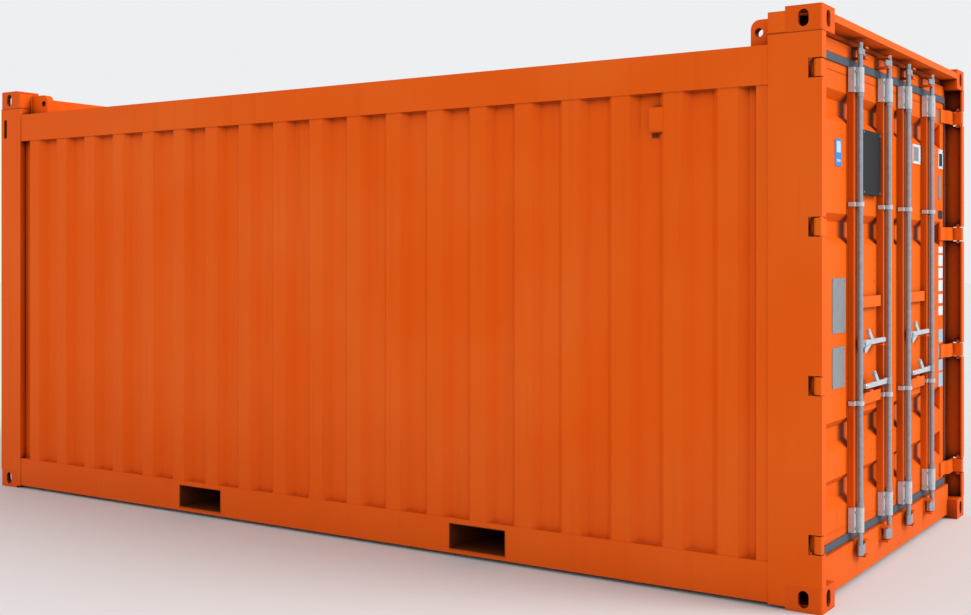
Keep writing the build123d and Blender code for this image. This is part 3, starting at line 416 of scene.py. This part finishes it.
def make_head_tree():
    """Sets a short cylinder, or a prism with few sides, on every point."""
    inputs = {"Radius": "Float", "Height": "Float", "Sides": "Int", "Turn": "Vector", "Finish": "Material"}
    tree, given = new_tree("heads", inputs)
    shape = {"Vertices": given["Sides"], "Radius": given["Radius"], "Depth": given["Height"]}
    head = add_node(tree, "GeometryNodeMeshCylinder", shape).outputs["Mesh"]
    setting = {"Points": given["Geometry"], "Instance": head, "Rotation": given["Turn"]}
    end_tree(tree, add_node(tree, "GeometryNodeInstanceOnPoints", setting).outputs[0], given["Finish"])
    return tree


def keep_piece(name, mesh, body):
    """Puts a finished mesh in the scene and lets it ride on a body."""
    piece = bpy.data.objects.new(name, mesh)
    bpy.context.collection.objects.link(piece)
    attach(piece, body)
    print("made", name, "with", len(mesh.polygons), "faces")


def grow(name, tree, points, edges, settings, body):
    """Runs a tree on points or paths and keeps the result as a plain mesh."""
    start = bpy.data.meshes.new(name + "_start")
    start.from_pydata(points, edges, [])
    source = bpy.data.objects.new(name + "_start", start)
    bpy.context.collection.objects.link(source)
    modifier = source.modifiers.new("grow", "NODES")
    modifier.node_group = tree
    for item in tree.interface.items_tree:
        if item.in_out == "INPUT" and item.name in settings:
            modifier[item.identifier] = settings[item.name]
    grown = source.evaluated_get(bpy.context.evaluated_depsgraph_get())
    mesh = bpy.data.meshes.new_from_object(grown)
    mesh.name = name
    bpy.data.objects.remove(source)
    keep_piece(name, mesh, body)


bead_tree = make_bead_tree()
head_tree = make_head_tree()
print("trees:", bead_tree.name, "and", head_tree.name)

# %% [markdown]
# ## Weld beads
# The seams are where sheets meet rails, posts meet castings, and ribs meet the door panels. The sheets are
# pressed in waves, so their seams follow the same waves. A bead lies half in the corner that it fills.

# %% Weld beads on the frame
BEAD, FINE_BEAD, STRONG_BEAD = 0.004, 0.0025, 0.008
RIPPLE, RIPPLE_SEED = 0.012, 7
# Places along the box: behind the posts at the door end (1) and at the rear (-1)
POST_BACK = {1: 2.766, -1: -2.815}
RAIL_FACE, RAIL_INSIDE, RAIL_TOP, RAIL_FOOT = 1.214, 1.062, 2.577, 0.020
TOP_SEAM, BOTTOM_SEAM = 2.395, 0.205
# Each waved sheet: where its waves start and end, their number, the width of a crest and of a slope
SIDE_WAVES = (2.704, POST_BACK[-1], 19, 0.100, 0.045)
SIDE_VALLEY, SIDE_CREST, STRIP_END = 1.170, 1.208, 2.684
ROOF_WAVES = (2.869, -2.919, 17, 0.150, 0.040)
ROOF_VALLEY, ROOF_CREST = 2.554, 2.574
SHEET_EDGE = 1.059
REAR_WAVES = (-SHEET_EDGE, SHEET_EDGE, 7, 0.100, 0.045)
REAR_VALLEY, REAR_CREST, REAR_TOP_SEAM = -2.971, -3.009, 2.530
CASTING_HEIGHTS, CASTING_SIDE, CASTING_END = (0.118, 2.625), 1.2165, 3.017
CASTING_BACK = {1: 2.851, -1: POST_BACK[-1]}
POCKETS, POCKET_HALF, POCKET_FOOT, POCKET_TOP = (1.104, -1.019), 0.186, 0.039, 0.181
EYE_FACES, EYE_TOP, EYE_END = (-1.131, -1.086), 2.713, 2.642


def wave_path(start, end, count, crest, slope, low, high):
    """The bends of a waved sheet as pairs: the place along it and the level."""
    pitch = (end - start) / count
    step = 1 if pitch > 0 else -1
    bends = ((-crest / 2 - slope, low), (-crest / 2, high), (crest / 2, high), (crest / 2 + slope, low))
    path = [(start, low)]
    for i in range(count):
        middle = start + (i + 0.5) * pitch
        path += [(middle + step * place, level) for place, level in bends]
    return path + [(end, low)]


def both_sides(paths):
    return paths + [[(x, -y, z) for x, y, z in path] for path in paths]


def weld(name, paths, radius, body):
    """Lays a bead of one radius along every path."""
    points, edges = [], []
    for path in paths:
        first = len(points)
        points += path
        edges += [(i, i + 1) for i in range(first, len(points) - 1)]
    settings = {"Radius": radius, "Ripple": RIPPLE, "Seed": RIPPLE_SEED, "Finish": orange_paint}
    grow(name, bead_tree, points, edges, settings, body)


# The flat strip behind the door post comes before the first wave of the side
strip = [(POST_BACK[1], SIDE_CREST), (SIDE_WAVES[0], SIDE_CREST), (STRIP_END, SIDE_VALLEY)]
side_line = strip + wave_path(*SIDE_WAVES, SIDE_VALLEY, SIDE_CREST)[1:]
side_seams = [[(x, -y, z) for x, y in side_line] for z in (TOP_SEAM, BOTTOM_SEAM)]
for end, level in ((1, SIDE_CREST), (-1, SIDE_VALLEY)):
    x = POST_BACK[end]
    side_seams.append([(x, -level, BOTTOM_SEAM), (x, -level, TOP_SEAM)])
    side_seams.append([(x, -RAIL_FACE, TOP_SEAM), (x, -RAIL_FACE, RAIL_TOP), (x, -RAIL_INSIDE, RAIL_TOP)])
    side_seams.append([(x, -RAIL_FACE, RAIL_FOOT), (x, -RAIL_FACE, BOTTOM_SEAM)])
side_seams.append([(x, -SHEET_EDGE, z) for x, z in wave_path(*ROOF_WAVES, ROOF_VALLEY, ROOF_CREST)])
weld("frame_seam_welds", both_sides(side_seams), BEAD, "frame")

rear_line = wave_path(*REAR_WAVES, REAR_VALLEY, REAR_CREST)
rear_seams = [[(x, y, z) for y, x in rear_line] for z in (BOTTOM_SEAM, REAR_TOP_SEAM)]
weld("rear_wall_welds", rear_seams, BEAD, "frame")

corner_seams = []
for end in (1, -1):
    for z in CASTING_HEIGHTS:
        corner_seams.append([(end * CASTING_END, -CASTING_SIDE, z), (CASTING_BACK[end], -CASTING_SIDE, z)])
for middle in POCKETS:
    left, right = middle - POCKET_HALF, middle + POCKET_HALF
    corners = [(left, POCKET_FOOT), (right, POCKET_FOOT), (right, POCKET_TOP), (left, POCKET_TOP)]
    corner_seams.append([(x, -RAIL_FACE, z) for x, z in corners + corners[:1]])
weld("casting_and_pocket_welds", both_sides(corner_seams), FINE_BEAD, "frame")

eye_seams = []
for end in (1, -1):
    x = POST_BACK[end]
    eye_seams += [[(x, y, EYE_TOP), (x, y, RAIL_TOP), (end * EYE_END, y, RAIL_TOP)] for y in EYE_FACES]
weld("pad_eye_welds", both_sides(eye_seams), STRONG_BEAD, "frame")

# %% [markdown]
# Each door's beads ride on that door. A bead stops where the panel dips into a pressed valley, because there
# the rib bridges the dip and touches nothing.

# %% Weld beads on the doors and keepers
DOORS = {"left": -1, "right": 1}
DOOR_FACE = 2.944
RIBS, RIB_HALF = (0.620, 0.170), 0.040
# The flat fields of a door panel between its pressed valleys
FLATS = ((0.253, 0.394), (0.542, 0.668), (0.816, 1.664), (1.812, 2.255), (2.403, 2.532))
FRAME_SEAMS, FRAME_SPAN = (0.291, 2.494), (0.078, 0.981)
HINGES = [0.310 + i * 0.715 for i in range(4)]
BLADE_TIP, BLADE_ROOT, BLADE_HALF = 0.962, 1.050, 0.040
GUARDS, GUARD_ENDS, GUARD_HALF = (1.376, 0.890), (0.230, 0.560), 0.028
# Each bar's place and the way in which its handle points
BARS = {1: (-0.620, 1), 2: (-0.170, -1), 3: (0.170, 1), 4: (0.620, -1)}
# A keeper's sides, seen from its bar, and its face, foot and top on the sill and on the header
KEEPER_SIDES = (0.027, 0.073)
KEEPERS = ((2.969, 0.124, 0.205), (DOOR_FACE, 2.580, 2.640))

for door, side in DOORS.items():
    seams = []
    for rib in RIBS:
        for y in (rib - RIB_HALF, rib + RIB_HALF):
            seams += [[(DOOR_FACE, side * y, low), (DOOR_FACE, side * y, high)] for low, high in FLATS]
    for z in FRAME_SEAMS:
        seams.append([(DOOR_FACE, side * y, z) for y in FRAME_SPAN])
    for hinge in HINGES:
        low, high = -BLADE_HALF, BLADE_HALF
        edge = [(BLADE_ROOT, low), (BLADE_TIP, low), (BLADE_TIP, high), (BLADE_ROOT, high)]
        seams.append([(DOOR_FACE, side * y, hinge + z) for y, z in edge])
    for guard in GUARDS:
        for y in GUARD_ENDS:
            seams.append([(DOOR_FACE, side * y, guard + z) for z in (-GUARD_HALF, GUARD_HALF)])
    weld(door + "_door_welds", seams, BEAD, door + "_door")

keeper_seams = []
for y, way in BARS.values():
    near, far = [y + way * gap for gap in KEEPER_SIDES]
    for x, low, high in KEEPERS:
        corners = [(near, low), (near, high), (far, high), (far, low), (near, low)]
        keeper_seams.append([(x, across, z) for across, z in corners])
weld("keeper_welds", keeper_seams, BEAD, "frame")

# %% [markdown]
# ## Bolts, pins and screws
# M8 bolts hold the bar guides, a head tops every hinge pin, and each handle turns on a headed pin. Inside,
# countersunk screws hold the plywood down on the bearers.

# %% Bolt heads, pin heads and floor screws
ALONG_X = (0.0, math.radians(90), 0.0)
UPRIGHT = (0.0, 0.0, 0.0)
# Each kind of head: its radius, its height and its number of sides
BOLT_HEAD = (0.0075, 0.006, 6)
HINGE_PIN_HEAD = (0.013, 0.006, 16)
HANDLE_PIN_HEAD = (0.008, 0.004, 16)
SCREW_HEAD = (0.006, 0.0015, 12)
RIVET_HEAD = (0.004, 0.002, 10)
GUIDE_FACE, GUIDE_HEIGHTS = 2.984, (0.314, 2.471)
BOLT_ACROSS, BOLT_UP = 0.033, 0.040
HINGE_PIN, HINGE_PIN_TOP = (2.999, 1.195), 0.060
FORK_FACE, FORK_REACH = 3.014, 0.036
HANDLE_HEIGHTS = {1: 1.1760, -1: 0.9584}
BEARERS = (2.383, 2.000, 1.617, 0.573, 0.229, -0.116, -1.608, -2.011, -2.413)
SCREW_PITCH, SCREWS_EACH_WAY, SCREW_ASIDE, FLOOR_TOP = 0.18, 6, 0.012, 0.2065


def heads(name, points, head, turn, body, finish):
    """Sets the same head on every point."""
    radius, height, sides = head
    settings = {"Radius": radius, "Height": height, "Sides": sides, "Turn": turn, "Finish": finish}
    grow(name, head_tree, points, [], settings, body)


for door, side in DOORS.items():
    bolts = []
    for bar in RIBS:
        for middle in GUIDE_HEIGHTS:
            for across in (-BOLT_ACROSS, BOLT_ACROSS):
                y = side * bar + across
                bolts += [(GUIDE_FACE + BOLT_HEAD[1] / 2, y, middle + up) for up in (-BOLT_UP, BOLT_UP)]
    heads(door + "_guide_bolts", bolts, BOLT_HEAD, ALONG_X, door + "_door", zinc)

pin_x, pin_y = HINGE_PIN
pins = [(pin_x, side * pin_y, hinge + HINGE_PIN_TOP) for side in (-1, 1) for hinge in HINGES]
heads("hinge_pin_heads", pins, HINGE_PIN_HEAD, UPRIGHT, "frame", orange_paint)
for number, (y, way) in BARS.items():
    pin = [(FORK_FACE, y + way * FORK_REACH, HANDLE_HEIGHTS[way])]
    heads(f"bar_{number}_pin_head", pin, HANDLE_PIN_HEAD, ALONG_X, f"bar_{number}", zinc)

screws = []
for x in BEARERS:
    for side in (-1, 1):
        for i in range(-SCREWS_EACH_WAY, SCREWS_EACH_WAY + 1):
            screws.append((x + side * SCREW_ASIDE, i * SCREW_PITCH, FLOOR_TOP))
heads("floor_screws", screws, SCREW_HEAD, UPRIGHT, "frame", zinc)

# %% [markdown]
# ## Blank plates
# The doors carry data plates, a placard holder and a column of small tags. They are left blank: each is a
# thin plate with rounded corners, in the colour that shows, with a rivet in every corner of the larger ones.

# %% Plates on the doors
PLATE_COLOURS = {
    "grey": "#8A8F93", "charcoal": "#14181A", "white": "#DDE2E6", "blue": "#3A8CD8",
    "pale_blue": "#A9BDD0", "sky_blue": "#B4D6E8", "slate": "#2C3A43",
}
PLATE_ROUGHNESS, PLAIN_SHINE = 0.45, 0.10
SCUFF_MM, SCUFFED = 40, (0.82, 1.08)
CORNER_STEPS = 5


def plain_finish(name, colour, roughness):
    """One colour, scuffed a little lighter and darker."""
    material, tree, shader, place = new_material(name)
    darkest, lightest = SCUFFED
    shade = ramp(tree, noise(tree, place, SCUFF_MM, 3.0), 0.0, 1.0, lightest, darkest)
    scaled = {0: linear(colour)[:3], "Scale": shade}
    tone = add_node(tree, "ShaderNodeVectorMath", scaled, operation="SCALE").outputs[0]
    tree.links.new(tone, shader.inputs["Base Color"])
    shader.inputs["Roughness"].default_value = roughness
    shader.inputs["Specular IOR Level"].default_value = PLAIN_SHINE
    return material


plate_finishes = {
    name: plain_finish("plate_" + name, colour, PLATE_ROUGHNESS) for name, colour in PLATE_COLOURS.items()
}


def plate_ring(y_span, z_span, corner):
    """The outline of a plate with rounded corners, anticlockwise seen from the front."""
    (y0, y1), (z0, z1) = y_span, z_span
    ys, zs = (y0 + corner, y1 - corner), (z0 + corner, z1 - corner)
    ring = []
    for index, (y, z) in enumerate(((ys[1], zs[1]), (ys[0], zs[1]), (ys[0], zs[0]), (ys[1], zs[0]))):
        for step in range(CORNER_STEPS + 1):
            turn = math.pi / 2 * (index + step / CORNER_STEPS)
            ring.append((y + corner * math.cos(turn), z + corner * math.sin(turn)))
    return ring


def make_plates(name, plates, body):
    """Plates as (colour, y span, z span, back x, front x, corner radius), joined into one piece."""
    points, faces, finishes = [], [], []
    colours = sorted({plate[0] for plate in plates})
    for colour, y_span, z_span, back, front, corner in plates:
        ring = plate_ring(y_span, z_span, corner)
        first, count = len(points), len(ring)
        points += [(front, y, z) for y, z in ring] + [(back, y, z) for y, z in ring]
        faces.append(list(range(first, first + count)))
        faces.append(list(range(first + 2 * count - 1, first + count - 1, -1)))
        for i in range(count):
            j = (i + 1) % count
            faces.append((first + i, first + count + i, first + count + j, first + j))
        finishes += [colours.index(colour)] * (count + 2)
    mesh = bpy.data.meshes.new(name)
    mesh.from_pydata(points, [], faces)
    for colour in colours:
        mesh.materials.append(plate_finishes[colour])
    mesh.polygons.foreach_set("material_index", finishes)
    keep_piece(name, mesh, body)


# A plate's face, the face of a smaller panel on it, and the face of the deep placard holder
PLATE = DOOR_FACE + 0.003
PANEL = PLATE + 0.001
HOLDER = 2.976
left_plates = [
    ("blue", (-0.828, -0.740), (2.039, 2.173), DOOR_FACE, PLATE, 0.018),
    ("sky_blue", (-0.812, -0.756), (2.106, 2.161), PLATE, PANEL, 0.006),
    ("pale_blue", (-0.812, -0.756), (2.060, 2.074), PLATE, PANEL, 0.004),
    ("grey", (-0.865, -0.690), (1.236, 1.501), DOOR_FACE, PLATE, 0.004),
    ("grey", (-0.865, -0.700), (0.972, 1.169), DOOR_FACE, PLATE, 0.004),
    ("charcoal", (-0.508, -0.242), (1.917, 2.240), DOOR_FACE, HOLDER, 0.006),
]
right_plates = [
    ("white", (0.420, 0.570), (2.133, 2.242), DOOR_FACE, PLATE, 0.004),
    ("grey", (0.432, 0.530), (2.148, 2.228), PLATE, PANEL, 0.004),
    ("grey", (0.945, 1.040), (2.414, 2.490), DOOR_FACE, PLATE, 0.012),
    ("white", (0.945, 1.040), (2.134, 2.250), DOOR_FACE, PLATE, 0.004),
    ("slate", (0.955, 1.022), (2.150, 2.225), PLATE, PANEL, 0.004),
    ("grey", (0.945, 0.995), (1.945, 2.092), DOOR_FACE, PLATE, 0.020),
    ("slate", (0.945, 1.030), (1.830, 1.880), DOOR_FACE, PLATE, 0.010),
]
# The column of small tags at the right door's edge, from the top down
TAG_SPAN = (0.945, 1.035)
WHITE_TAGS = ((1.622, 1.660), (1.543, 1.610), (1.470, 1.531), (1.391, 1.458), (1.318, 1.373), (1.245, 1.300))
BLUE_TAGS = ((1.080, 1.159), (0.989, 1.062), (0.910, 0.977), (0.812, 0.897))
for colour, tags in (("white", WHITE_TAGS), ("pale_blue", BLUE_TAGS)):
    right_plates += [(colour, TAG_SPAN, tag, DOOR_FACE, PLATE, 0.004) for tag in tags]
make_plates("left_door_plates", left_plates, "left_door")
make_plates("right_door_plates", right_plates, "right_door")

RIVET_EDGE, LARGE_PLATE = 0.012, 0.09
for door, plates in (("left", left_plates), ("right", right_plates)):
    rivets = []
    for colour, (y0, y1), (z0, z1), back, front, corner in plates:
        if back == DOOR_FACE and z1 - z0 > LARGE_PLATE:
            for y in (y0 + RIVET_EDGE, y1 - RIVET_EDGE):
                rivets += [(front + RIVET_HEAD[1] / 2, y, z) for z in (z0 + RIVET_EDGE, z1 - RIVET_EDGE)]
    heads(door + "_plate_rivets", rivets, RIVET_HEAD, ALONG_X, door + "_door", zinc)

# %% [markdown]
# ## Vent screens
# Each vent cover is open below, where a strip of punched steel keeps the rain and the rats out. The strip is
# coloured dark orange-brown to paint the shade under the cover, and its slots are cut as a row of thin bars with
# dark gaps between them.

# %% Screens under the vents
# The screen's dark orange-brown paints the shade under the vent cover
SCREEN_SHADE_COLOUR, SCREEN_ROUGHNESS = "#8A4416", 0.7
SCREEN_HEIGHT, SCREEN_THICKNESS, SCREEN_LIP = 0.020, 0.004, 0.003
SCREEN_BARS, BAR_SHARE = 9, 0.6


def box_faces(points, faces, low, high):
    """Adds the eight corners and six outward faces of a box to a mesh in the making."""
    first = len(points)
    points += [(x, y, z) for x in (low[0], high[0]) for y in (low[1], high[1]) for z in (low[2], high[2])]
    for face in ((0, 1, 3, 2), (4, 6, 7, 5), (0, 4, 5, 1), (2, 3, 7, 6), (0, 2, 6, 4), (1, 5, 7, 3)):
        faces.append([first + corner for corner in face])


vent_low, vent_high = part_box("wall_vents")
pitch = (vent_high.x - vent_low.x) / SCREEN_BARS
top, foot = vent_low.z, vent_low.z - SCREEN_HEIGHT
points, faces = [], []
for side in (-1, 1):
    back, front = sorted((side * (SIDE_VALLEY + SCREEN_THICKNESS), side * SIDE_VALLEY))
    for i in range(SCREEN_BARS):
        x = vent_low.x + i * pitch
        box_faces(points, faces, (x, back, foot), (x + BAR_SHARE * pitch, front, top))
    box_faces(points, faces, (vent_low.x, back, foot - SCREEN_LIP), (vent_high.x, front, foot))
screen = bpy.data.meshes.new("vent_screens")
screen.from_pydata(points, [], faces)
screen.materials.append(plain_finish("vent_screen_in_painted_shade", SCREEN_SHADE_COLOUR, SCREEN_ROUGHNESS))
keep_piece("vent_screens", screen, "frame")

# %% [markdown]
# ## Studio
# A pale floor, a pale surround and two soft suns: the stronger one shines on the door end, as in the
# photograph, and the weaker one fills the long side. A wide angle on a sun is the simple way to a soft
# shadow edge.

# %% Floor, surround and light
FLOOR_HALF, FLOOR_COLOUR, FLOOR_ROUGHNESS = 60.0, "#D3D5D5", 0.9
SURROUND, SURROUND_LIGHT = "#EEEFF0", 0.90
# Each sun: the way to it from the container, its strength and how wide it looks in degrees
KEY_SUN = ((0.80, 0.22, 0.56), 2.1, 25)
FILL_SUN = ((0.38, -0.80, 0.46), 0.40, 50)


def make_floor():
    mesh = bpy.data.meshes.new("studio_floor")
    corners = [(-1, -1, 0), (1, -1, 0), (1, 1, 0), (-1, 1, 0)]
    mesh.from_pydata([[FLOOR_HALF * c for c in corner] for corner in corners], [], [(0, 1, 2, 3)])
    material, tree, shader, place = new_material("pale_floor")
    shader.inputs["Base Color"].default_value = linear(FLOOR_COLOUR)
    shader.inputs["Roughness"].default_value = FLOOR_ROUGHNESS
    mesh.materials.append(material)
    floor = bpy.data.objects.new("studio_floor", mesh)
    bpy.context.collection.objects.link(floor)


def make_sun(name, towards, strength, soft_degrees):
    """A sun that shines from a direction, given as a vector from the object to the light."""
    data = bpy.data.lights.new(name, "SUN")
    data.energy = strength
    data.angle = math.radians(soft_degrees)
    sun = bpy.data.objects.new(name, data)
    sun.rotation_euler = Vector(towards).to_track_quat("Z", "Y").to_euler()
    bpy.context.collection.objects.link(sun)


def make_surround():
    """A pale surround that is a little brighter to look at than the light it gives."""
    world = bpy.data.worlds.new("surround")
    world.use_nodes = True
    tree = world.node_tree
    tree.nodes.clear()
    ray = add_node(tree, "ShaderNodeLightPath").outputs
    seen = calculated(tree, "MAXIMUM", ray["Is Camera Ray"], ray["Is Glossy Ray"])
    seen = calculated(tree, "MAXIMUM", seen, ray["Is Transmission Ray"])
    strength = ramp(tree, seen, 0.0, 1.0, 1.0, SURROUND_LIGHT)
    sky = add_node(tree, "ShaderNodeBackground", {"Color": linear(SURROUND), "Strength": strength})
    add_node(tree, "ShaderNodeOutputWorld", {"Surface": sky.outputs[0]})
    bpy.context.scene.world = world


make_floor()
make_sun("key_sun", *KEY_SUN)
make_sun("fill_sun", *FILL_SUN)
make_surround()
bpy.context.scene.view_settings.view_transform = "Standard"
print("studio: floor", 2 * FLOOR_HALF, "m wide")
